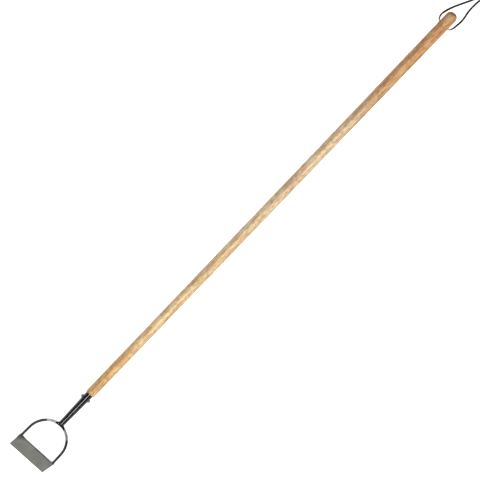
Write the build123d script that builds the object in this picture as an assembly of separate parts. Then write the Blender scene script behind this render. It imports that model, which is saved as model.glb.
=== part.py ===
from build123d import *
import math
import os

# Stirrup hoe (a fixed, push-pull "Dutch" stirrup on a long ash handle), lying flat as it would
# on a bench: it rests on the blade's cutting edge and on the thick end of the handle.
# Millimetres. +X runs from the blade to the end of the handle, +Y to the left of someone who looks
# along +X, +Z up. Shapes are drawn about the tool's own axis, with x = 0 where the wooden shoulder
# meets the socket's mouth, and one move at the end puts the origin under the middle of the tool.

# handle
HANDLE_LENGTH = 1440.0      # from the shoulder to the domed end
SHOULDER_RADIUS = 13.45     # at the socket
MIDDLE_RADIUS = 15.25       # two thirds of the way up, from here a little swell for the hand
END_RADIUS = 16.15          # the last hand's breadth is parallel
SHOULDER_ROUND = 5.5        # length of the rounded shoulder
SHOULDER_LIP = 11.3         # radius of the wood where it meets the socket's mouth
SHOULDER_MID = (0.32, 0.66) # shares of its length and height that the round's middle has reached
SWELL_START = 0.72          # share of the length
PARALLEL_LENGTH = 110.0
DOME_LENGTH = 14.5
TENON_LENGTH = 60.0
HANG_HOLE_RADIUS = 3.0
HANG_HOLE_FROM_END = 47.0
HANG_HOLE_CHAMFER = 0.8

# socket: a tapered tube, forged shut at the bow
SOCKET_LENGTH = 112.0
SOCKET_MOUTH_RADIUS = 10.9
SOCKET_TOE_RADIUS = 8.15
SOCKET_WALL = 1.8
SOCKET_HOLLOW = 98.0        # depth of the inside
FIT_GAP = 0.1               # wood to tube, and bolt to its holes

# cross bolt, M5 with a hexagon head and a plain nut
BOLT_FROM_MOUTH = 15.5
BOLT_RADIUS = 2.5
BOLT_FLATS = 8.0
BOLT_HEAD_HEIGHT = 3.5
NUT_HEIGHT = 4.0
BOLT_END = 2.0              # thread that stands out of the nut
CORNER_CUT = 0.5            # turned chamfer on hexagon corners
NUT_TURN = 14.0             # degrees from the head's flats
THROUGH = 20.0              # half length of a drill that goes right through handle or socket

# bow: one round bar, bent to a horseshoe
BAR_RADIUS = 3.4
BOW_RADIUS = 59.7           # of the bar's centre line
BOW_CROWN = 114.2           # crown's centre line from the socket's mouth
BOW_FLARE = 1.2             # degrees that each arm spreads
ARM_BEND_RADIUS = 9.0       # where the arm turns down along the blade
LAP_LENGTH = 16.0           # half-round end of the bar, under the blade
LAP_TOE_IN = 0.02           # its lean towards the middle, as a share of its length

# blade: a flat plate, ground to a bevel on the face that lies away from the sole
BLADE_BACK = 203.2          # back edge from the socket's mouth
BLADE_CHORD = 42.6
BLADE_BACK_WIDTH = 128.0
BLADE_EDGE_WIDTH = 125.4
BLADE_THICKNESS = 2.5
BEVEL_LENGTH = 8.0
EDGE_LAND = 0.3             # thickness left at the cutting edge

# weld beads at the blade's two rear corners, placed in the blade's own plane: x down the blade
# from its back edge, z up from the face that the bar lies under
BEAD_INSET = 0.6            # of a bead's centre line from the edge that it runs along
SIDE_BEAD_RADIUS = 1.7
SIDE_BEAD_LENGTH = 15.0
SIDE_BEAD_ROUND = 1.2       # of its two ends
SIDE_BEAD_START = (-1.0, 0.1)
REAR_BEAD_RADIUS = 2.1
REAR_BEAD_END_RADIUS = 0.5
REAR_BEAD_LENGTH_LEFT = 9.0
REAR_BEAD_LENGTH_RIGHT = 26.0
REAR_BEAD_START = (-0.2, 0.9)
PAD_RADIUS = 3.2            # lump on the bend of the bar
PAD_CENTRE = (-0.6, 1.4)

# weld between socket and bow
COLLAR_HALF_HEIGHT = 5.2
COLLAR_REACH = 17.0         # of each fillet along the bow, to either side
COLLAR_CORE_RADIUS = 7.6
COLLAR_CORE_X = -110.5
COLLAR_INNER_GAP = 1.2      # beyond the bar's centre line, on the inner side of the bow
THROAT = SOCKET_TOE_RADIUS - 1.0
COLLAR_OUTLINE = [
    (-104.0, THROAT),
    (-105.0, SOCKET_TOE_RADIUS + 0.2),
    (-109.6, 10.2),
    (-112.4, COLLAR_REACH),
    (-116.2, COLLAR_REACH),
    (-116.2, THROAT),
]

# hanging thong: a flat leather lace, 4 x 2 mm, here as a round cord of nearly that section
THONG_RADIUS = 1.6
THONG_TURN_SHARE = 0.45     # of the shorter run that each arc may take
KNOT_HALF_LENGTH = 8.0
KNOT_RADIUS = 4.8
TAIL_LENGTH = 26.0
TAIL_WIDTH = 4.0
TAIL_THICKNESS = 2.0
TAIL_LIFT = 0.4

# The lace's route, x from the socket's mouth, y, and height over the floor. Both strands start in
# the middle of the hang hole, drop to the floor beside the domed end and meet again in the knot.
HANG_HOLE_X = HANDLE_LENGTH - HANG_HOLE_FROM_END
LEFT_ROUTE = [
    (HANG_HOLE_X, 0.0, END_RADIUS),
    (HANG_HOLE_X, 19.0, END_RADIUS),
    (1409.0, 27.0, 12.5),
    (1428.0, 21.5, 6.5),
    (1450.0, 13.0, 2.2),
    (1480.0, -2.0, 1.7),
    (1512.0, -18.5, 1.7),
    (1546.0, -31.8, 3.6),
]
RIGHT_ROUTE = [
    (HANG_HOLE_X, 0.0, END_RADIUS),
    (HANG_HOLE_X, -17.8, END_RADIUS),
    (1407.5, -28.0, 13.0),
    (1428.0, -32.5, 7.0),
    (1450.0, -35.5, 2.4),
    (1477.0, -29.6, 1.7),
    (1505.0, -29.8, 1.7),
    (1526.0, -32.6, 1.7),
    (1546.0, -36.2, 3.6),
]
KNOT_CENTRE = (1551.5, -34.6, KNOT_RADIUS)
KNOT_HEADING = -14.0        # degrees, of the line that the knot and the tails follow
TAIL_SPREAD = 17.0          # degrees of each tail to either side

WORK_ROOM = (60.0, 200.0, 20.0)     # of a block that cuts away all that lies on one side of a plane

# worked out from the sizes above
EDGE_DEPTH = BLADE_THICKNESS - EDGE_LAND
BLADE_TILT = math.degrees(
    math.asin(END_RADIUS / math.hypot(BLADE_CHORD, EDGE_DEPTH)) + math.atan2(EDGE_DEPTH, BLADE_CHORD)
)
TILT_COS = math.cos(math.radians(BLADE_TILT))
TILT_SIN = math.sin(math.radians(BLADE_TILT))
EDGE_X = BLADE_BACK + BLADE_CHORD * TILT_COS + BLADE_THICKNESS * TILT_SIN
MIDDLE_X = (HANDLE_LENGTH - EDGE_X) / 2
TO_FRAME = Pos(-MIDDLE_X, 0, END_RADIUS)
BLADE_PLANE = Plane(
    origin=(-BLADE_BACK, 0, 0),
    x_dir=(-TILT_COS, 0, -TILT_SIN),
    z_dir=(-TILT_SIN, 0, TILT_COS),
)


def socket_radius(x):
    """Outer radius of the socket at x, which is 0 at the mouth and negative towards the bow."""
    return SOCKET_MOUTH_RADIUS + (SOCKET_MOUTH_RADIUS - SOCKET_TOE_RADIUS) * x / SOCKET_LENGTH


def turned(*edges):
    """A solid turned about the tool's axis from a closed outline of (x, radius) edges."""
    return revolve(Plane.XZ * make_face(Curve() + edges), Axis.X)


def cross_bar(x, radius, y_from, y_to):
    """A cylinder through the tool's axis, along Y."""
    lay = Pos(x, y_from, 0) * Rot(X=-90)
    return lay * Cylinder(radius, y_to - y_from, align=(Align.CENTER, Align.CENTER, Align.MIN))


def make_handle():
    inner_mouth = SOCKET_MOUTH_RADIUS - SOCKET_WALL - FIT_GAP
    inner_end = socket_radius(-TENON_LENGTH) - SOCKET_WALL - FIT_GAP
    dome_start = HANDLE_LENGTH - DOME_LENGTH
    parallel_start = HANDLE_LENGTH - PARALLEL_LENGTH
    swell_start = HANDLE_LENGTH * SWELL_START
    mid_x, mid_rise = SHOULDER_MID
    shoulder_height = SHOULDER_RADIUS - SHOULDER_LIP
    shoulder_mid = (SHOULDER_ROUND * mid_x, SHOULDER_LIP + shoulder_height * mid_rise)
    body = turned(
        Polyline((-TENON_LENGTH, 0), (-TENON_LENGTH, inner_end), (0, inner_mouth), (0, SHOULDER_LIP)),
        ThreePointArc((0, SHOULDER_LIP), shoulder_mid, (SHOULDER_ROUND, SHOULDER_RADIUS)),
        Polyline(
            (SHOULDER_ROUND, SHOULDER_RADIUS),
            (swell_start, MIDDLE_RADIUS),
            (parallel_start, END_RADIUS),
            (dome_start, END_RADIUS),
        ),
        EllipticalCenterArc((dome_start, 0), DOME_LENGTH, END_RADIUS, 0, arc_size=90),
        Line((HANDLE_LENGTH, 0), (-TENON_LENGTH, 0)),
    )
    body -= cross_bar(-BOLT_FROM_MOUTH, BOLT_RADIUS + FIT_GAP, -THROUGH, THROUGH)
    body -= cross_bar(HANG_HOLE_X, HANG_HOLE_RADIUS, -THROUGH, THROUGH)
    mouth = Cone(
        HANG_HOLE_RADIUS,
        HANG_HOLE_RADIUS + 2 * HANG_HOLE_CHAMFER,
        2 * HANG_HOLE_CHAMFER,
    )
    for turn in (-90, 90):
        body -= Pos(HANG_HOLE_X, 0, 0) * Rot(X=turn) * Pos(0, 0, END_RADIUS) * mouth
    return body


def make_socket(bow):
    toe = socket_radius(-SOCKET_LENGTH)
    hollow_end = socket_radius(-SOCKET_HOLLOW) - SOCKET_WALL
    tube = turned(
        Polyline(
            (0, SOCKET_MOUTH_RADIUS - SOCKET_WALL),
            (0, SOCKET_MOUTH_RADIUS),
            (-SOCKET_LENGTH, toe),
            (-SOCKET_LENGTH, 0),
            (-SOCKET_HOLLOW, 0),
            (-SOCKET_HOLLOW, hollow_end),
            (0, SOCKET_MOUTH_RADIUS - SOCKET_WALL),
        )
    )
    tube -= cross_bar(-BOLT_FROM_MOUTH, BOLT_RADIUS + FIT_GAP, -THROUGH, THROUGH)
    return tube - bow


def hexagon(height):
    """A hexagon bar with both ends turned to a chamfer, standing on z = 0."""
    corner_radius = BOLT_FLATS / math.sqrt(3)
    bar = extrude(RegularPolygon(BOLT_FLATS / 2, 6, major_radius=False), height)
    turned_shape = Cylinder(corner_radius, height, align=(Align.CENTER, Align.CENTER, Align.MIN))
    rims = turned_shape.edges().filter_by(GeomType.CIRCLE)
    return bar & chamfer(rims, CORNER_CUT)


def bolt_seat():
    """Distance from the axis to the faces of the head and the nut, which touch the widening tube."""
    return socket_radius(BOLT_FLATS / math.sqrt(3) - BOLT_FROM_MOUTH)


def make_bolt():
    seat = bolt_seat()
    shank = cross_bar(-BOLT_FROM_MOUTH, BOLT_RADIUS, -seat, seat + NUT_HEIGHT + BOLT_END)
    shank = chamfer(shank.edges().sort_by(Axis.Y)[-1], CORNER_CUT)
    head = Pos(-BOLT_FROM_MOUTH, -seat, 0) * Rot(X=90) * hexagon(BOLT_HEAD_HEIGHT)
    return shank + head


def make_nut():
    nut = Pos(-BOLT_FROM_MOUTH, bolt_seat(), 0) * Rot(X=-90) * Rot(Z=NUT_TURN) * hexagon(NUT_HEIGHT)
    return nut - cross_bar(-BOLT_FROM_MOUTH, BOLT_RADIUS, 0, THROUGH)


def arm_points(side):
    """End of the arch, the bend at the blade's back edge and the end of the lap; side is +1 or -1."""
    last = math.radians(90 - BOW_FLARE)
    arch_end = Vector(-BOW_CROWN - BOW_RADIUS * (1 - math.cos(last)), side * BOW_RADIUS * math.sin(last), 0)
    spread = math.tan(math.radians(BOW_FLARE)) * (arch_end.X + BLADE_BACK)
    bend = Vector(-BLADE_BACK, arch_end.Y + side * spread, 0)
    lap_end = bend + Vector(-TILT_COS, -side * LAP_TOE_IN, -TILT_SIN) * LAP_LENGTH
    return arch_end, bend, lap_end


def make_bow():
    left_arch, left_bend, left_end = arm_points(1)
    right_arch, right_bend, right_end = arm_points(-1)
    left_arm = FilletPolyline(left_end, left_bend, left_arch, radius=ARM_BEND_RADIUS)
    arch = ThreePointArc(left_arch, (-BOW_CROWN, 0, 0), right_arch)
    right_arm = FilletPolyline(right_arch, right_bend, right_end, radius=ARM_BEND_RADIUS)
    path = Wire(left_arm.edges() + arch.edges() + right_arm.edges())
    section = Plane(origin=path @ 0, z_dir=path % 0) * Circle(BAR_RADIUS)
    bar = sweep(section, path)
    lap_room = Box(*WORK_ROOM, align=(Align.MIN, Align.CENTER, Align.MIN))
    return bar - BLADE_PLANE * lap_room


def make_blade():
    plan = Polyline(
        (0, -BLADE_BACK_WIDTH / 2),
        (BLADE_CHORD, -BLADE_EDGE_WIDTH / 2),
        (BLADE_CHORD, BLADE_EDGE_WIDTH / 2),
        (0, BLADE_BACK_WIDTH / 2),
        (0, -BLADE_BACK_WIDTH / 2),
    )
    plate = extrude(make_face(plan), BLADE_THICKNESS)
    wedge = Polyline(
        (BLADE_CHORD - BEVEL_LENGTH, 0),
        (BLADE_CHORD + 1, -1),
        (BLADE_CHORD + 1, EDGE_DEPTH + EDGE_DEPTH / BEVEL_LENGTH),
        (BLADE_CHORD - BEVEL_LENGTH, 0),
    )
    bevel = extrude(Plane.XZ * make_face(wedge), BLADE_BACK_WIDTH, both=True)
    return BLADE_PLANE * (plate - bevel)


def make_blade_weld(side, rear_length, bow, blade):
    """Bead down the blade's side edge and a tapering one along its back edge; side is +1 or -1."""
    # The blade's own plane has its y towards -Y of the tool.
    half_width = BLADE_BACK_WIDTH / 2
    upright = (Align.CENTER, Align.CENTER, Align.MIN)
    side_x, side_z = SIDE_BEAD_START
    side_bead = Cylinder(SIDE_BEAD_RADIUS, SIDE_BEAD_LENGTH, align=upright)
    side_bead = fillet(side_bead.edges().filter_by(GeomType.CIRCLE), SIDE_BEAD_ROUND)
    side_bead = Pos(side_x, -side * (half_width - BEAD_INSET), side_z) * Rot(Y=90) * side_bead
    rear_x, rear_z = REAR_BEAD_START
    rear_bead = Cone(REAR_BEAD_RADIUS, REAR_BEAD_END_RADIUS, rear_length, align=upright)
    inner_y = half_width - 2 * BAR_RADIUS - BEAD_INSET
    rear_bead = Pos(rear_x, -side * inner_y, rear_z) * Rot(X=-side * 90) * rear_bead
    pad_x, pad_z = PAD_CENTRE
    pad_y = half_width - BAR_RADIUS - BEAD_INSET
    pad = Pos(pad_x, -side * pad_y, pad_z) * Sphere(PAD_RADIUS)
    over_sole = Pos(0, 0, BLADE_THICKNESS) * Box(*WORK_ROOM, align=(Align.MIN, Align.CENTER, Align.MIN))
    bead = BLADE_PLANE * (side_bead + rear_bead + pad - over_sole)
    return bead - bow - blade


def make_socket_weld(bow, socket):
    """Fillets either side of the socket's toe, running out along the bow."""
    profile = make_face(Polyline(*COLLAR_OUTLINE, COLLAR_OUTLINE[0]))
    left_fillet = extrude(profile, COLLAR_HALF_HEIGHT, both=True)
    core = Pos(COLLAR_CORE_X, 0, 0) * Cylinder(COLLAR_CORE_RADIUS, 2 * COLLAR_HALF_HEIGHT)
    weld = left_fillet + mirror(left_fillet, Plane.XZ) + core
    inner_radius = BOW_RADIUS + COLLAR_INNER_GAP
    inner_side = Pos(-BOW_CROWN - BOW_RADIUS, 0, 0) * Cylinder(inner_radius, 8 * COLLAR_HALF_HEIGHT)
    return weld - inner_side - bow - socket


def route_in_shape(route):
    """The lace's points about the tool's axis, where heights are over the floor."""
    return [Vector(x, y, z - END_RADIUS) for x, y, z in route]


def make_strand(name, route):
    points = route_in_shape(route)
    radii = []
    for before, here, after in zip(points, points[1:], points[2:]):
        run_in = here - before
        run_out = after - here
        half_turn = math.radians(run_in.get_angle(run_out)) / 2
        radii.append(THONG_TURN_SHARE * min(run_in.length, run_out.length) / math.tan(half_turn))
    path = FilletPolyline(*points, radius=radii)
    section = Plane(origin=path @ 0, z_dir=path % 0) * Circle(THONG_RADIUS)
    strand = sweep(section, path)
    expected = math.pi * THONG_RADIUS**2 * path.length
    print(name, "length", round(path.length, 1), "radii", [round(r, 1) for r in radii])
    print(name, "volume", round(strand.volume, 1), "section x length", round(expected, 1))
    return strand


def make_knot():
    place = Pos(KNOT_CENTRE[0], KNOT_CENTRE[1], KNOT_CENTRE[2] - END_RADIUS) * Rot(Z=KNOT_HEADING)
    reach = KNOT_HALF_LENGTH - KNOT_RADIUS
    lump = Rot(Y=90) * Cylinder(KNOT_RADIUS, 2 * reach)
    lump = lump + Pos(-reach, 0, 0) * Sphere(KNOT_RADIUS) + Pos(reach, 0, 0) * Sphere(KNOT_RADIUS)
    tail = Pos(0, 0, TAIL_LIFT - KNOT_RADIUS) * Box(
        TAIL_LENGTH + KNOT_HALF_LENGTH,
        TAIL_WIDTH,
        TAIL_THICKNESS,
        align=(Align.MIN, Align.CENTER, Align.MIN),
    )
    knot = lump + Rot(Z=TAIL_SPREAD) * tail + Rot(Z=-TAIL_SPREAD) * tail
    return place * knot


def main():
    os.makedirs("parts", exist_ok=True)
    bow = make_bow()
    blade = make_blade()
    socket = make_socket(bow)
    knot = make_knot()
    nodes = {
        "handle": make_handle(),
        "socket": socket,
        "cross_bolt": make_bolt(),
        "cross_nut": make_nut(),
        "bow": bow,
        "socket_weld": make_socket_weld(bow, socket),
        "blade": blade,
        "blade_weld_left": make_blade_weld(1, REAR_BEAD_LENGTH_LEFT, bow, blade),
        "blade_weld_right": make_blade_weld(-1, REAR_BEAD_LENGTH_RIGHT, bow, blade),
        "thong_left": make_strand("thong_left", LEFT_ROUTE) - knot,
        "thong_right": make_strand("thong_right", RIGHT_ROUTE) - knot,
        "thong_knot": knot,
    }
    for name, shape in nodes.items():
        export_step(TO_FRAME * shape, f"parts/{name}.step")
    print("blade tilt", round(BLADE_TILT, 2), "origin is at x", round(MIDDLE_X, 2), "from the mouth")


main()
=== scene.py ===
import math

import bpy
from mathutils import Matrix, Vector, noise


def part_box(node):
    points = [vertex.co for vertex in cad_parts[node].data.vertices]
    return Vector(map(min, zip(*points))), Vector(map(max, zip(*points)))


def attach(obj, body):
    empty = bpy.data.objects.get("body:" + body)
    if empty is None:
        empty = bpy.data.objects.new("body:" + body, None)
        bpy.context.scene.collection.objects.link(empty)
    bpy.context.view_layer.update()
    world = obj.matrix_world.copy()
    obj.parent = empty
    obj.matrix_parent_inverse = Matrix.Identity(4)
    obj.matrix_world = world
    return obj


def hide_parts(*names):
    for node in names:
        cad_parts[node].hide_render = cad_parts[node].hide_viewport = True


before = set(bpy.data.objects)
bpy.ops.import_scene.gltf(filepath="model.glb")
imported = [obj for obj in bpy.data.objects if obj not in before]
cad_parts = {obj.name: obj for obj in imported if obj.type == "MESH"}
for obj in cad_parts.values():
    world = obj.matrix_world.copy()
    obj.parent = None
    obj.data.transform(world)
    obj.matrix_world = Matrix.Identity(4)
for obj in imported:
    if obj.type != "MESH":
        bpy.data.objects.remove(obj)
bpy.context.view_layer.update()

# Stirrup hoe, looked at from above with the blade at the lower left. Metres and degrees, in the
# frame of the CAD model: +X from the blade to the handle's end, +Z up.

MM = 0.001
HANDLE_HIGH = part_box("handle")[1]
AXIS_HEIGHT = HANDLE_HIGH.z / 2
HANDLE_END = HANDLE_HIGH.x
HANDLE_LENGTH = 1.44        # from the socket's mouth to the domed end
MOUTH_X = HANDLE_END - HANDLE_LENGTH
HOLE_X = HANDLE_END - 47 * MM
BLADE_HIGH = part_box("blade")[1]
BAR_RADIUS = 3.4 * MM
BOW_RADIUS = 59.7 * MM      # the bar's centre line
BOW_CROWN_X = MOUTH_X - 114.2 * MM
BLADE_TILT = math.radians(25.2)
BLADE_HALF_WIDTH = 64 * MM
BLADE_BACK_X = MOUTH_X - 203.2 * MM
SOCKET_TOE_RADIUS = 8.15 * MM


# ---------------------------------------------------------------- camera

CAMERA_DISTANCE = 5.218
CAMERA_TARGET = Vector((-0.0162, -0.0047, AXIS_HEIGHT))
CAMERA_AXIAL = math.radians(-3.37)      # lean towards the blade
CAMERA_LATERAL = math.radians(19.67)    # lean to the tool's left
CAMERA_ROLL = math.radians(43.79)       # of the tool in the picture, clockwise from upright
CAMERA_LENS = 143.96


def direction(axial, lateral):
    """Unit vector from the tool towards a light or the camera, leaning along X and along Y."""
    return Vector((
        math.sin(axial),
        math.cos(axial) * math.sin(lateral),
        math.cos(axial) * math.cos(lateral),
    ))


def make_camera():
    data = bpy.data.cameras.new("camera")
    data.lens = CAMERA_LENS
    data.clip_end = 50
    camera = bpy.data.objects.new("camera", data)
    back = direction(CAMERA_AXIAL, CAMERA_LATERAL)
    along = Vector((1, 0, 0))
    along = (along - along.dot(back) * back).normalized()
    across = along.cross(back)
    up = math.cos(CAMERA_ROLL) * along - math.sin(CAMERA_ROLL) * across
    right = math.sin(CAMERA_ROLL) * along + math.cos(CAMERA_ROLL) * across
    turn = Matrix((right, up, back)).transposed()
    camera.matrix_world = Matrix.Translation(CAMERA_TARGET + back * CAMERA_DISTANCE) @ turn.to_4x4()
    bpy.context.scene.collection.objects.link(camera)
    bpy.context.scene.camera = camera


# ---------------------------------------------------------------- meshes

def add_mesh(name, points, faces, material, smooth=True):
    mesh = bpy.data.meshes.new(name)
    mesh.from_pydata(points, [], faces)
    mesh.update()
    for polygon in mesh.polygons:
        polygon.use_smooth = smooth
    piece = bpy.data.objects.new(name, mesh)
    bpy.context.scene.collection.objects.link(piece)
    piece.data.materials.append(material)
    return piece


def loft(name, rings, material):
    """A skin over rings of as many points each, capped at both ends."""
    count = len(rings[0])
    points = [p for ring in rings for p in ring]
    faces = []
    for i in range(len(rings) - 1):
        here = i * count
        there = here + count
        for k in range(count):
            after = (k + 1) % count
            faces.append((here + k, here + after, there + after, there + k))
    faces.append(tuple(reversed(range(count))))
    faces.append(tuple(range(len(points) - count, len(points))))
    return add_mesh(name, points, faces, material)


def join(parts):
    """Makes one piece of several."""
    with bpy.context.temp_override(
        active_object=parts[0],
        selected_editable_objects=parts,
        selected_objects=parts,
    ):
        bpy.ops.object.join()
    return parts[0]


def spline_points(points, resolution=16):
    """Points along the smooth NURBS line that has these control points."""
    curve = bpy.data.curves.new("route", "CURVE")
    curve.dimensions = "3D"
    curve.resolution_u = resolution
    spline = curve.splines.new("NURBS")
    spline.points.add(len(points) - 1)
    for slot, point in zip(spline.points, points):
        slot.co = (*point, 1)
    spline.order_u = 3
    spline.use_endpoint_u = True
    holder = bpy.data.objects.new("route", curve)
    bpy.context.scene.collection.objects.link(holder)
    bpy.context.view_layer.update()
    evaluated = holder.evaluated_get(bpy.context.evaluated_depsgraph_get())
    mesh = bpy.data.meshes.new_from_object(evaluated)
    line = [v.co.copy() for v in mesh.vertices]
    bpy.data.objects.remove(holder)
    bpy.data.curves.remove(curve)
    bpy.data.meshes.remove(mesh)
    return line


def sweep(name, line, section, material):
    """Sweeps section(share, distance), a list of (side, up) offsets, along a line."""
    rings = []
    travelled = 0.0
    total = sum((b - a).length for a, b in zip(line, line[1:]))
    for i, point in enumerate(line):
        before = line[max(i - 1, 0)]
        after = line[min(i + 1, len(line) - 1)]
        if i:
            travelled += (point - before).length
        along = (after - before).normalized()
        side = along.cross(Vector((0, 0, 1)))
        side = side.normalized() if side.length > 1e-6 else Vector((0, 1, 0))
        up = side.cross(along)
        ring = [point + side * a + up * b for a, b in section(travelled / total, travelled)]
        rings.append(ring)
    return loft(name, rings, material)


def rounded_strip(width, thickness, corner, steps=3):
    """Outline of a flat strip with rounded edges, anticlockwise."""
    outline = []
    corners = ((1, 1, 0), (-1, 1, 90), (-1, -1, 180), (1, -1, 270))
    for side, up, start in corners:
        middle_a = side * (width / 2 - corner)
        middle_b = up * (thickness / 2 - corner)
        for k in range(steps + 1):
            angle = math.radians(start + 90 * k / steps)
            outline.append((middle_a + corner * math.cos(angle), middle_b + corner * math.sin(angle)))
    return outline


# ---------------------------------------------------------------- materials

class Finish:
    """A material's node tree, with short calls for the nodes that the finishes share."""

    def __init__(self, name):
        self.material = bpy.data.materials.new(name)
        self.material.use_nodes = True
        self.tree = self.material.node_tree
        self.shader = self.tree.nodes["Principled BSDF"]
        self.place = self.tree.nodes.new("ShaderNodeTexCoord").outputs["Object"]

    def add(self, kind, inputs=(), **settings):
        node = self.tree.nodes.new(kind)
        for key, value in settings.items():
            setattr(node, key, value)
        for key, value in dict(inputs).items():
            self.put(node.inputs[key], value)
        return node

    def put(self, socket, value):
        if isinstance(value, bpy.types.NodeSocket):
            self.tree.links.new(value, socket)
        elif hasattr(value, "__len__") and len(value) == 3 and socket.type == "RGBA":
            socket.default_value = (*value, 1)
        else:
            socket.default_value = value

    def set(self, **values):
        for key, value in values.items():
            self.put(self.shader.inputs[key.replace("_", " ")], value)

    def mapped(self, scale, location=(0, 0, 0), rotation=(0, 0, 0), source=None):
        inputs = {
            "Vector": source or self.place,
            "Scale": scale,
            "Location": location,
            "Rotation": rotation,
        }
        return self.add("ShaderNodeMapping", inputs).outputs["Vector"]

    def noise(self, scale, detail=3.0, roughness=0.55, vector=None):
        inputs = {
            "Vector": vector or self.place,
            "Scale": scale,
            "Detail": detail,
            "Roughness": roughness,
        }
        return self.add("ShaderNodeTexNoise", inputs).outputs["Fac"]

    def ramp(self, fac, *stops):
        """Colour ramp; each stop is (position, colour or grey level)."""
        node = self.add("ShaderNodeValToRGB", {"Fac": fac})
        elements = node.color_ramp.elements
        while len(elements) < len(stops):
            elements.new(0.5)
        for element, (position, colour) in zip(elements, stops):
            element.position = position
            grey = isinstance(colour, (int, float))
            element.color = (colour, colour, colour, 1) if grey else (*colour, 1)
        return node.outputs["Color"]

    def mix(self, fac, a, b, mode="MIX"):
        node = self.add("ShaderNodeMix", data_type="RGBA", blend_type=mode)
        self.put(node.inputs[0], fac)
        self.put(node.inputs[6], a)
        self.put(node.inputs[7], b)
        return node.outputs[2]

    def math(self, operation, a, b=0.0):
        node = self.add("ShaderNodeMath", operation=operation)
        self.put(node.inputs[0], a)
        self.put(node.inputs[1], b)
        return node.outputs[0]

    def plus(self, a, b):
        return self.math("ADD", a, b)

    def minus(self, a, b):
        return self.math("SUBTRACT", a, b)

    def times(self, a, b):
        return self.math("MULTIPLY", a, b)

    def spread(self, value, low, high, to_low=0.0, to_high=1.0):
        inputs = {0: value, 1: low, 2: high, 3: to_low, 4: to_high}
        node = self.add("ShaderNodeMapRange", interpolation_type="SMOOTHSTEP")
        for key, number in inputs.items():
            self.put(node.inputs[key], number)
        return node.outputs[0]

    def axes(self):
        return self.add("ShaderNodeSeparateXYZ", {0: self.place}).outputs

    def bump(self, height, strength, distance):
        inputs = {"Height": height, "Strength": strength, "Distance": distance}
        return self.add("ShaderNodeBump", inputs).outputs["Normal"]


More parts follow.
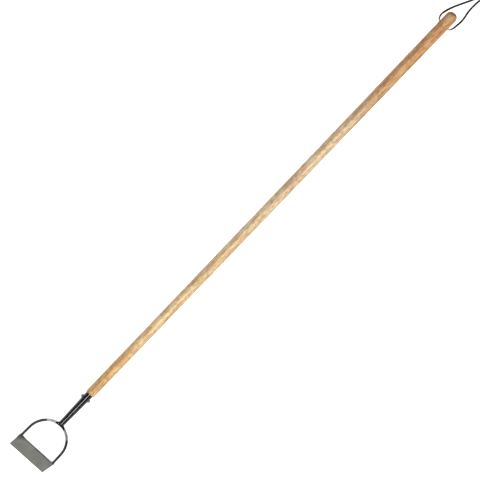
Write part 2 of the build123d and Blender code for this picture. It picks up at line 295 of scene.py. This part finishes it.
def ash_wood():
    f = Finish("ash_wood")
    x, y, z = f.axes()
    wander = f.noise(1.0, 2, 0.5, f.mapped((2.2, 14, 14)))
    # Growth rings of the log that the stick was sawn from: it lies beside the pith, a little askew.
    log = f.mapped((1, 1, 1), (0, 0.031, 0.043), (0, math.radians(0.55), math.radians(0.9)))
    offset = f.times(f.minus(wander, 0.5), 0.012)
    shove = f.add("ShaderNodeCombineXYZ", {0: 0.0, 1: offset, 2: offset}).outputs[0]
    pushed = f.add("ShaderNodeVectorMath", {0: log, 1: shove}, operation="ADD").outputs[0]
    rings = f.add(
        "ShaderNodeTexWave",
        {"Vector": pushed, "Scale": 112.0, "Distortion": 1.3, "Detail": 2.0, "Detail Scale": 1.6},
        wave_type="RINGS",
        rings_direction="X",
    ).outputs["Fac"]
    early = f.ramp(rings, (0.0, 0.0), (0.5, 0.2), (0.8, 0.8), (1.0, 1.0))
    pores = f.noise(1.0, 4, 0.7, f.mapped((55, 1500, 1500)))
    streaks = f.noise(1.0, 4, 0.62, f.mapped((8, 280, 280)))
    flecks = f.noise(1.0, 2, 0.5, f.mapped((105, 230, 230), (0.7, 0, 0)))
    flames = f.noise(1.0, 3, 0.55, f.mapped((34, 95, 95), (0.3, 0, 0)))
    streaked = f.ramp(streaks, (0.38, 0.0), (0.62, 1.0))
    pale = f.mix(streaked, (0.70, 0.515, 0.285), (0.97, 0.775, 0.475))
    grain = f.mix(f.times(early, 0.55), pale, (0.60, 0.40, 0.20))
    fleck = f.ramp(flecks, (0.32, 1.0), (0.48, 0.0))
    flecked = f.mix(f.times(fleck, 0.75), grain, (0.42, 0.27, 0.13))
    glint = f.ramp(flecks, (0.55, 0.0), (0.68, 1.0))
    flecked = f.mix(f.times(glint, 0.6), flecked, (1.0, 0.85, 0.57))
    flame = f.ramp(flames, (0.49, 0.0), (0.62, 1.0))
    body = f.mix(f.times(flame, 0.5), flecked, (0.52, 0.32, 0.155))
    dark_pores = f.times(f.ramp(pores, (0.55, 0.0), (0.68, 1.0)), early)
    pored = f.mix(f.times(dark_pores, 0.5), body, (0.32, 0.18, 0.08))
    # Painted shade: the wood is darkened, and cooled a little, towards its +Y side and near its -Y
    # edge.
    painted_edge_shade = f.times(f.spread(y, -16 * MM, -6 * MM, 1.0, 0.0), 0.85)
    painted_side_shade = f.plus(f.spread(y, -3 * MM, 15 * MM), painted_edge_shade)
    with_side_shade = f.mix(f.times(painted_side_shade, 0.85), pored, (0.50, 0.51, 0.56), "MULTIPLY")
    # Redder streaks, and a yellower lower half.
    blush = f.ramp(f.noise(1.0, 3, 0.6, f.mapped((17, 75, 75), (0.9, 0, 0))), (0.46, 0.0), (0.62, 1.0))
    blush = f.times(blush, f.spread(x, 0.30, 0.50, 0.6, 0.95))
    with_side_shade = f.mix(blush, with_side_shade, (0.88, 0.69, 0.60), "MULTIPLY")
    with_side_shade = f.mix(f.spread(x, -0.10, 0.12, 1.0, 0.0), with_side_shade, (1.06, 1.02, 0.89), "MULTIPLY")
    with_side_shade = f.mix(f.spread(x, -0.50, -0.34, 1.0, 0.0), with_side_shade, (0.92, 0.79, 0.61), "MULTIPLY")
    # Hands have darkened the upper end, and the last of the dome is much darker, reaching further down
    # on its +Y side.
    drift = f.times(f.minus(wander, 0.5), 0.2)
    handled = f.spread(f.plus(x, drift), 0.38, 0.56)
    wear_and_painted_highlight = f.mix(f.spread(x, 0.55, 0.70), (0.82, 0.64, 0.46), (0.85, 0.60, 0.40))
    wear_and_painted_highlight = f.mix(f.spread(x, 0.74, 0.82), wear_and_painted_highlight, (0.80, 0.64, 0.45))
    worn = f.mix(handled, with_side_shade, wear_and_painted_highlight, "MULTIPLY")
    leaned = f.plus(x, f.times(y, 0.25))
    leaned = f.plus(leaned, f.times(flecks, 6 * MM))
    dome = f.spread(leaned, HANDLE_END - 9 * MM, HANDLE_END - 3 * MM)
    speckle = f.noise(900.0, 4, 0.7)
    dark_dome_end = f.ramp(speckle, (0.4, (0.055, 0.040, 0.022)), (0.65, (0.15, 0.105, 0.062)))
    f.set(Base_Color=f.mix(f.times(dome, 0.82), worn, dark_dome_end), Specular_IOR_Level=0.4)
    f.set(Roughness=f.spread(streaks, 0.3, 0.7, 0.46, 0.6), Coat_Weight=0.12, Coat_Roughness=0.3)
    relief = f.minus(f.times(streaks, 0.5), f.times(dark_pores, 0.5))
    f.set(Normal=f.bump(relief, 0.55, 0.00035))
    return f.material


def gloss_paint():
    f = Finish("black_paint")
    x, y, z = f.axes()
    peel = f.noise(420.0, 2, 0.5)
    specks = f.ramp(f.noise(2600.0, 2, 0.5), (0.66, 0.0), (0.74, 1.0))
    colour = f.mix(f.times(specks, 0.35), (0.006, 0.006, 0.0064), (0.05, 0.05, 0.048))
    scuffs = f.ramp(f.noise(1.0, 4, 0.7, f.mapped((60, 700, 700))), (0.60, 0.0), (0.74, 1.0))
    colour = f.mix(f.times(scuffs, 0.12), colour, (0.06, 0.058, 0.055))
    rim = f.times(f.spread(x, MOUTH_X - 1.2 * MM, MOUTH_X), f.ramp(peel, (0.4, 0.0), (0.6, 1.0)))
    colour = f.mix(rim, colour, (0.19, 0.18, 0.17))
    f.set(Base_Color=colour, Specular_IOR_Level=0.8, Specular_Tint=(0.55, 0.55, 0.55))
    f.set(Roughness=f.spread(scuffs, 0.0, 1.0, 0.06, 0.16))
    f.set(Normal=f.bump(peel, 0.07, 0.0001))
    return f.material


def drawn_bar():
    f = Finish("bare_bar")
    x, y, z = f.axes()
    mottle = f.noise(240.0, 4, 0.6)
    fine = f.noise(2200.0, 3, 0.6)
    steel = f.mix(f.ramp(mottle, (0.35, 0.0), (0.7, 1.0)), (0.018, 0.018, 0.019), (0.050, 0.050, 0.049))
    # Painted highlights: bright patches on the shoulders either side of the crown, more on the left
    # shoulder than on the right, brightest on the bar's inner side.
    middle_x = BOW_CROWN_X - BOW_RADIUS
    turn = f.math("ARCTAN2", y, f.minus(x, middle_x))
    turn = f.plus(turn, f.times(f.minus(mottle, 0.5), 0.12))
    across = f.math("POWER", f.minus(x, middle_x), 2.0)
    out = f.math("SQRT", f.plus(across, f.math("POWER", y, 2.0)))
    inner = f.spread(out, BOW_RADIUS - 1 * MM, BOW_RADIUS + 3.5 * MM, 1.0, 0.45)
    left = f.times(f.spread(turn, 0.19, 0.27), f.spread(turn, 0.64, 0.76, 1.0, 0.0))
    right = f.times(f.spread(turn, -0.26, -0.15, 1.0, 0.0), f.spread(turn, -0.90, -0.70))
    painted_highlight = f.times(left, inner)
    painted_highlight = f.plus(painted_highlight, f.times(right, 0.5))
    polar = f.add("ShaderNodeCombineXYZ", {0: f.times(turn, 0.06), 1: out, 2: z}).outputs[0]
    drawn = f.noise(1.0, 3, 0.6, f.mapped((90, 620, 620), source=polar))
    painted_highlight = f.times(painted_highlight, f.ramp(drawn, (0.38, 0.35), (0.6, 1.0)))
    # The painted highlights are laid over the dark steel here.
    wear_and_painted_highlight = f.mix(painted_highlight, steel, (0.85, 0.85, 0.82))
    # Black paint from the socket ends raggedly on the crown of the bow.
    ragged = f.times(f.minus(f.noise(310.0, 3, 0.6), 0.5), 0.006)
    reach = f.plus(f.math("ABSOLUTE", f.plus(y, 1 * MM)), ragged)
    near_crown = f.spread(x, BOW_CROWN_X - 12 * MM, BOW_CROWN_X - 9 * MM)
    paint = f.times(f.spread(reach, 14 * MM, 15.2 * MM, 1.0, 0.0), near_crown)
    # The ends are blued by the welding.
    dark_near_welds = f.spread(x, BLADE_BACK_X + 4 * MM, BLADE_BACK_X + 20 * MM, 1.0, 0.0)
    blued = f.mix(f.times(dark_near_welds, 0.7), wear_and_painted_highlight, (0.045, 0.045, 0.052))
    f.set(Base_Color=f.mix(paint, blued, (0.012, 0.012, 0.012)))
    f.set(Metallic=f.times(f.minus(1.0, paint), 0.45), Specular_IOR_Level=0.35)
    f.set(Specular_Tint=(0.35, 0.35, 0.35))
    f.set(Roughness=f.mix(paint, f.ramp(fine, (0.3, 0.34), (0.7, 0.5)), (0.16, 0.16, 0.16)))
    f.set(Normal=f.bump(f.plus(mottle, f.times(fine, 0.3)), 0.25, 0.00015))
    return f.material


def down_the_blade(f, x, z):
    """Distance down the blade from its back edge, in metres."""
    back = f.minus(BLADE_BACK_X, x)
    down = f.minus(AXIS_HEIGHT, z)
    level_part = f.times(back, math.cos(BLADE_TILT))
    return f.plus(level_part, f.times(down, math.sin(BLADE_TILT)))


def blade_steel():
    f = Finish("blade_steel")
    x, y, z = f.axes()
    chord = down_the_blade(f, x, z)
    turned = f.mapped((1, 1, 1), (0, 0, 0), (0, -BLADE_TILT, 0))
    scratches = f.noise(1.0, 4, 0.65, f.mapped((2600, 130, 1), source=turned))
    cloud = f.noise(38.0, 4, 0.6)
    grit = f.noise(1500.0, 4, 0.7)
    base = f.mix(f.ramp(cloud, (0.3, 0.0), (0.72, 1.0)), (0.240, 0.242, 0.214), (0.318, 0.320, 0.288))
    scratched = f.ramp(scratches, (0.45, 0.0), (0.7, 1.0))
    gritty = f.ramp(grit, (0.5, 0.0), (0.7, 1.0))
    base = f.mix(f.times(scratched, 0.28), base, (0.34, 0.34, 0.31))
    base = f.mix(f.times(gritty, 0.25), base, (0.12, 0.122, 0.108))
    # A dark band along the back edge, a dark strip along the cutting edge, and darker patches beside
    # the welds, stronger on the left (+Y) side.
    ripple = f.times(f.minus(cloud, 0.5), 2.2 * MM)
    dark_back_band = f.spread(f.plus(chord, ripple), 1.3 * MM, 2.9 * MM, 1.0, 0.0)
    edge_strip = f.spread(f.plus(chord, ripple), 39.6 * MM, 41.2 * MM)
    base = f.mix(f.times(dark_back_band, 0.85), base, (0.03, 0.032, 0.029))
    base = f.mix(f.times(edge_strip, 0.85), base, (0.035, 0.037, 0.033))
    from_side = f.minus(BLADE_HALF_WIDTH, f.math("ABSOLUTE", y))
    reach = f.plus(f.times(chord, 0.9), from_side)
    reach = f.plus(reach, f.times(f.minus(cloud, 0.5), 6 * MM))
    left = f.spread(y, -1 * MM, 1 * MM, 0.45, 1.0)
    dark_near_welds = f.times(f.spread(reach, 8 * MM, 31 * MM, 1.0, 0.0), left)
    base = f.mix(f.times(dark_near_welds, 0.85), base, (0.085, 0.087, 0.093))
    right_half = f.spread(y, -48 * MM, -14 * MM, 1.0, 0.0)
    bluish = f.times(right_half, f.ramp(cloud, (0.35, 0.2), (0.6, 1.0)))
    base = f.mix(f.times(bluish, 0.45), base, (0.27, 0.285, 0.29))
    near_edge = f.spread(chord, 27 * MM, 37 * MM)
    worn_edge = f.times(near_edge, f.ramp(grit, (0.45, 0.0), (0.62, 1.0)))
    base = f.mix(f.times(worn_edge, 0.4), base, (0.34, 0.34, 0.32))
    f.set(Base_Color=base, Metallic=0.35, Specular_IOR_Level=0.35)
    f.set(Roughness=f.spread(grit, 0.3, 0.7, 0.5, 0.68))
    f.set(Normal=f.bump(f.plus(scratches, f.times(grit, 0.4)), 0.3, 0.00012))
    return f.material


def weld_steel():
    f = Finish("weld_steel")
    fine = f.noise(1900.0, 4, 0.7)
    tint = f.noise(170.0, 3, 0.6)
    x, y, z = f.axes()
    colour = f.ramp(
        tint,
        (0.3, (0.055, 0.055, 0.062)),
        (0.5, (0.12, 0.115, 0.105)),
        (0.7, (0.25, 0.25, 0.24)),
    )
    # The long bead along the right of the blade's back edge is bright and clean.
    corner = f.spread(y, -57 * MM, -53 * MM, 1.0, 0.0)
    clean = f.times(f.minus(1.0, corner), f.spread(y, -10 * MM, 0.0, 1.0, 0.0))
    colour = f.mix(clean, colour, (0.74, 0.74, 0.71))
    f.set(Base_Color=colour, Metallic=f.spread(clean, 0.0, 1.0, 0.8, 0.15))
    f.set(Roughness=f.spread(fine, 0.3, 0.7, 0.34, 0.6))
    f.set(Normal=f.bump(fine, 0.4, 0.0001))
    return f.material


def zinc_plate():
    f = Finish("zinc_fastener")
    fine = f.noise(2400.0, 3, 0.6)
    cloud = f.noise(500.0, 3, 0.6)
    colour = f.ramp(cloud, (0.3, (0.28, 0.285, 0.29)), (0.7, (0.48, 0.485, 0.49)))
    f.set(Base_Color=colour, Metallic=0.9)
    f.set(Roughness=f.spread(fine, 0.3, 0.7, 0.3, 0.45))
    f.set(Normal=f.bump(fine, 0.2, 0.00008))
    return f.material


def leather():
    f = Finish("black_leather")
    creases = f.noise(1.0, 4, 0.7, f.mapped((420, 900, 900)))
    pebble = f.noise(2900.0, 3, 0.6)
    worn = f.ramp(f.noise(130.0, 3, 0.6), (0.42, 0.0), (0.75, 1.0))
    x, y, z = f.axes()
    from_hole = f.math("ABSOLUTE", f.minus(x, HOLE_X))
    wear_and_painted_highlight = f.spread(from_hole, 2 * MM, 20 * MM, 1.0, 0.0)
    base = f.mix(f.times(worn, 0.5), (0.004, 0.0036, 0.0034), (0.015, 0.011, 0.009))
    base = f.mix(f.times(wear_and_painted_highlight, 0.8), base, (0.085, 0.045, 0.028))
    f.set(Base_Color=base, Specular_IOR_Level=0.22)
    f.set(Roughness=f.spread(creases, 0.3, 0.7, 0.5, 0.72))
    f.set(Normal=f.bump(f.plus(creases, f.times(pebble, 0.5)), 0.5, 0.00018))
    return f.material


def floor_paper():
    f = Finish("floor_paper")
    tooth = f.noise(60.0, 3, 0.6)
    f.set(Base_Color=f.ramp(tooth, (0.3, 0.93), (0.7, 0.95)), Roughness=0.9, Specular_IOR_Level=0.1)
    f.set(Emission_Color=(1, 1, 1), Emission_Strength=0.4)
    return f.material


# ---------------------------------------------------------------- hanging lace

LACE_WIDTH = 5.4 * MM
LACE_THICKNESS = 2.2 * MM
LACE_CORNER = 0.62 * MM
LACE_CUPPING = 0.18 * MM    # rise of its two edges over its middle
ON_EDGE_UNTIL = 19 * MM     # distances along it, from the middle of the handle
FLAT_FROM = 52 * MM
LEAN_ON_EDGE = math.radians(82)
GATHER_FROM = 0.86          # share of its length
LACE_GATHER = 0.35          # share of its width that a strand loses on its way into the knot
HOLE_PINCH = 0.36           # share of its width that the hole takes from it
LACE_SINK = 0.50 * MM       # a flat lace's middle lies lower than that of the CAD model's round one
# The CAD route's points, in metres: x from the socket's mouth, y and height over the floor.
LEFT_ROUTE = [
    (1.393, 0.0, AXIS_HEIGHT),
    (1.393, 0.019, AXIS_HEIGHT),
    (1.409, 0.027, 0.0125),
    (1.428, 0.0215, 0.0065),
    (1.450, 0.013, 0.0022),
    (1.480, -0.002, 0.0017),
    (1.512, -0.0185, 0.0017),
    (1.546, -0.0318, 0.0036),
]
RIGHT_ROUTE = [
    (1.393, 0.0, AXIS_HEIGHT),
    (1.393, -0.0178, AXIS_HEIGHT),
    (1.4075, -0.028, 0.013),
    (1.428, -0.0325, 0.007),
    (1.450, -0.0355, 0.0024),
    (1.477, -0.0296, 0.0017),
    (1.505, -0.0298, 0.0017),
    (1.526, -0.0326, 0.0017),
    (1.546, -0.0362, 0.0036),
]
KNOT_CENTRE = Vector((MOUTH_X + 1.5515, -0.0346, 0.0048))
KNOT_HEADING = math.radians(-14)


def lace_section(seed):
    """Flat strip that stands on edge in the hole and turns to lie flat, with a little cupping."""
    strip = rounded_strip(LACE_WIDTH, LACE_THICKNESS, LACE_CORNER)

    def section(share, distance):
        turn = min(max((distance - ON_EDGE_UNTIL) / (FLAT_FROM - ON_EDGE_UNTIL), 0), 1)
        angle = LEAN_ON_EDGE * (1 - turn * turn * (3 - 2 * turn))
        angle += math.radians(8) * noise.noise(Vector((distance * 30, seed, 0))) * turn
        swell = 1 + 0.05 * noise.noise(Vector((distance * 90, seed, 5)))
        swell *= 1 - LACE_GATHER * max(0.0, share - GATHER_FROM) / (1 - GATHER_FROM)
        pinch = 1 - turn
        cosine = math.cos(angle)
        sine = math.sin(angle)
        ring = []
        for a, b in strip:
            a *= swell * (1 - HOLE_PINCH * pinch)
            b *= 1 - 0.5 * HOLE_PINCH * pinch
            b += LACE_CUPPING * (2 * a / LACE_WIDTH) ** 2 - LACE_SINK * turn
            ring.append((a * cosine - b * sine, a * sine + b * cosine))
        return ring

    return section


def make_lace(name, route, seed, material):
    line = spline_points([(MOUTH_X + x, y, z) for x, y, z in route])
    lace = sweep(name, line, lace_section(seed), material)
    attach(lace, "root")
    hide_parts(name)
    return lace, line


def knot_line(side):
    """Overhand knot in the lace pair: a trefoil opened at its lowest lobe, ends led off both ways."""
    size = 2.0 * MM
    lead = 10.5 * MM
    first = 0.55
    turns = 26
    points = [Vector((-lead, -0.6 * MM, -2.2 * MM)), Vector((-lead * 0.62, -2.2 * MM, -1.6 * MM))]
    for k in range(turns + 1):
        t = -math.pi + first + (2 * math.pi - 2 * first) * k / turns
        x = math.sin(t) + 2 * math.sin(2 * t)
        y = math.cos(t) - 2 * math.cos(2 * t)
        points.append(Vector((x * size, y * size * 0.85, -math.sin(3 * t) * 1.5 * MM)))
    points.append(Vector((lead * 0.7, -3.0 * MM, -2.0 * MM)))
    points.append(Vector((lead * 1.15, -1.0 * MM + side * 1.5 * MM, -3.0 * MM)))
    tail = 30 * MM
    spread = math.radians(15) * side
    points.append(Vector((tail * 0.75, math.sin(spread) * tail * 0.75, -3.7 * MM)))
    points.append(Vector((tail * 1.1, math.sin(spread) * tail * 1.25, -3.7 * MM)))
    return [p + Vector((0, 0, side * 0.75 * MM if abs(p.x) < lead else 0)) for p in points]


def make_knot(material):
    place = Matrix.Translation(KNOT_CENTRE) @ Matrix.Rotation(KNOT_HEADING, 4, "Z")
    strip = rounded_strip(3.9 * MM, 1.8 * MM, 0.6 * MM)
    halves = []
    for side in (1, -1):
        line = spline_points([place @ p for p in knot_line(side)], 6)
        halves.append(sweep("knot_half", line, lambda share, distance: strip, material))
    knot = join(halves)
    knot.name = "lace_knot"
    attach(knot, "root")
    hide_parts("thong_knot")
    return knot


def make_hanging_lace():
    material = leather()
    knot = make_knot(material)
    for name, route, side, seed in (
        ("thong_left", LEFT_ROUTE, 1, 3.0),
        ("thong_right", RIGHT_ROUTE, -1, 8.0),
    ):
        lace, line = make_lace(name, route, seed, material)
        lace.name = name.replace("thong", "lace")


# ---------------------------------------------------------------- welds

BEAD_RIPPLE = 1.15 * MM
BEAD_FLATNESS = 0.8         # height of a bead as a share of its width
BEAD_RESOLUTION = 15
SIDE_BEAD = (1.7 * MM, 0.7)     # radius, and the share of it that is left at the far end
REAR_BEAD = (1.9 * MM, 0.5)
REAR_LENGTH_LEFT = 9 * MM
REAR_LENGTH_RIGHT = 26 * MM


def bead_section(radius, taper, seed):
    """Rippled bead: a round that steps up and dies away once a ripple, thinner towards its end."""

    def section(share, distance):
        phase = distance / BEAD_RIPPLE % 1.0
        size = radius * (1 - (1 - taper) * share) * (0.90 + 0.14 * (1 - phase) ** 1.5)
        size *= 0.35 + 0.65 * min(1, share * 9, (1 - share) * 9) ** 0.5
        ring = []
        for k in range(14):
            angle = 2 * math.pi * k / 14
            a = math.cos(angle)
            b = math.sin(angle)
            wobble = 1 + 0.08 * noise.noise(Vector((a * 2, b * 2, distance * 900 + seed)))
            ring.append((size * wobble * a, size * wobble * BEAD_FLATNESS * b))
        return ring

    return section


def on_blade(chord, y, height):
    """A point given down the blade from its back edge, across, and over the bar side of the plate."""
    cosine = math.cos(BLADE_TILT)
    sine = math.sin(BLADE_TILT)
    x = BLADE_BACK_X - chord * cosine - height * sine
    return Vector((x, y, AXIS_HEIGHT - chord * sine + height * cosine))


def make_blade_welds(material):
    edge = BLADE_HIGH.y
    for name, side, rear in (
        ("blade_weld_left", 1, REAR_LENGTH_LEFT),
        ("blade_weld_right", -1, REAR_LENGTH_RIGHT),
    ):
        down = spline_points([
            on_blade(-1.6 * MM, side * (edge - 0.6 * MM), 0.4 * MM),
            on_blade(3 * MM, side * (edge - 0.2 * MM), 0.0),
            on_blade(8 * MM, side * (edge - 0.4 * MM), 0.0),
            on_blade(14 * MM, side * (edge - 0.7 * MM), -0.2 * MM),
        ], BEAD_RESOLUTION)
        inner = edge - 2 * BAR_RADIUS - 0.4 * MM
        along = spline_points([
            on_blade(-0.4 * MM, side * (edge - 3 * MM), 0.6 * MM),
            on_blade(-0.7 * MM, side * inner, 0.7 * MM),
            on_blade(-0.8 * MM, side * (inner - rear * 0.5), 0.9 * MM),
            on_blade(-0.3 * MM, side * (inner - rear), 0.9 * MM),
        ], BEAD_RESOLUTION)
        parts = [
            sweep("side_bead", down, bead_section(*SIDE_BEAD, 2.0 + side), material),
            sweep("rear_bead", along, bead_section(*REAR_BEAD, 5.0 + side), material),
        ]
        weld = join(parts)
        weld.name = name + "_bead"
        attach(weld, "root")
        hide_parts(name)


def make_socket_weld(material):
    """Painted fillets that run from the socket's toe out along the bow."""
    half_length = 17 * MM
    throat = 5.6 * MM
    rings = []
    steps = 56
    for i in range(steps + 1):
        y = half_length * (2 * i / steps - 1)
        sag = BOW_RADIUS - math.sqrt(BOW_RADIUS**2 - y * y)
        centre = Vector((BOW_CROWN_X - sag, y, AXIS_HEIGHT))
        fall = (2.0 if y < 0 else 1.3) * MM
        beyond = max(0.0, abs(y) - SOCKET_TOE_RADIUS + 0.6 * MM)
        rise = throat * math.exp(-beyond / fall)
        end = min(1.0, (half_length - abs(y)) / (3 * MM))
        skin = BAR_RADIUS - 0.25 * MM + 0.45 * MM * end**0.5
        lumps = 0.22 * MM * noise.noise(Vector((y * 700, 3.0, 1.0))) * end
        ring = []
        for k in range(32):
            angle = 2 * math.pi * k / 32
            toward = max(0.0, math.cos(angle)) ** 1.6
            grow = skin + (rise + lumps) * toward
            upright = skin + 0.7 * MM * math.exp(-beyond / fall)
            ring.append(centre + Vector((grow * math.cos(angle), 0, upright * math.sin(angle))))
        rings.append(ring)
    weld = loft("socket_weld_fillet", rings, material)
    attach(weld, "root")
    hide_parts("socket_weld")


# ---------------------------------------------------------------- carried-over CAD nodes

def finish_nodes(paint, weld):
    finishes = {
        "handle": ash_wood(),
        "socket": paint,
        "bow": drawn_bar(),
        "blade": blade_steel(),
        "cross_nut": zinc_plate(),
    }
    finishes["cross_bolt"] = finishes["cross_nut"]
    for name, material in finishes.items():
        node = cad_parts[name]
        node.data.materials.clear()
        node.data.materials.append(material)


# ---------------------------------------------------------------- studio

FLOOR_HALF = 40.0
FLOOR_DROP = 0.3 * MM       # clear of what rests on it
# axial lean, lateral lean, distance, (length, width), watts
KEY_BOX = (0, 16, 5.0, (3.8, 0.8), 270)
RIGHT_BOX = (0, -58, 4.5, (3.4, 1.4), 50)
WORLD_STRENGTH = 0.06


def make_floor():
    half = FLOOR_HALF
    corners = [(-half, -half, 0), (half, -half, 0), (half, half, 0), (-half, half, 0)]
    floor = add_mesh("floor", corners, [(0, 1, 2, 3)], floor_paper(), smooth=False)
    floor.location.z = -FLOOR_DROP


def area_light(name, axial, lateral, distance, size, watts):
    """Soft box that faces the tool; size is its length along the tool and its width across."""
    data = bpy.data.lights.new(name, "AREA")
    data.shape = "RECTANGLE"
    data.size, data.size_y = size
    data.energy = watts
    light = bpy.data.objects.new(name, data)
    towards = direction(math.radians(axial), math.radians(lateral))
    along = Vector((1, 0, 0))
    along = (along - along.dot(towards) * towards).normalized()
    turn = Matrix((along, towards.cross(along), towards)).transposed()
    light.matrix_world = Matrix.Translation(towards * distance) @ turn.to_4x4()
    bpy.context.scene.collection.objects.link(light)


def make_lights():
    world = bpy.data.worlds.new("studio")
    bpy.context.scene.world = world
    world.use_nodes = True
    background = world.node_tree.nodes["Background"]
    background.inputs["Color"].default_value = (1, 1, 1, 1)
    background.inputs["Strength"].default_value = WORLD_STRENGTH
    area_light("key", *KEY_BOX)
    area_light("right_box", *RIGHT_BOX)
    bpy.context.scene.view_settings.view_transform = "Standard"
    bpy.context.scene.view_settings.look = "None"


make_camera()
make_hanging_lace()
paint = gloss_paint()
weld = weld_steel()
make_blade_welds(weld)
make_socket_weld(paint)
finish_nodes(paint, weld)
make_floor()
make_lights()
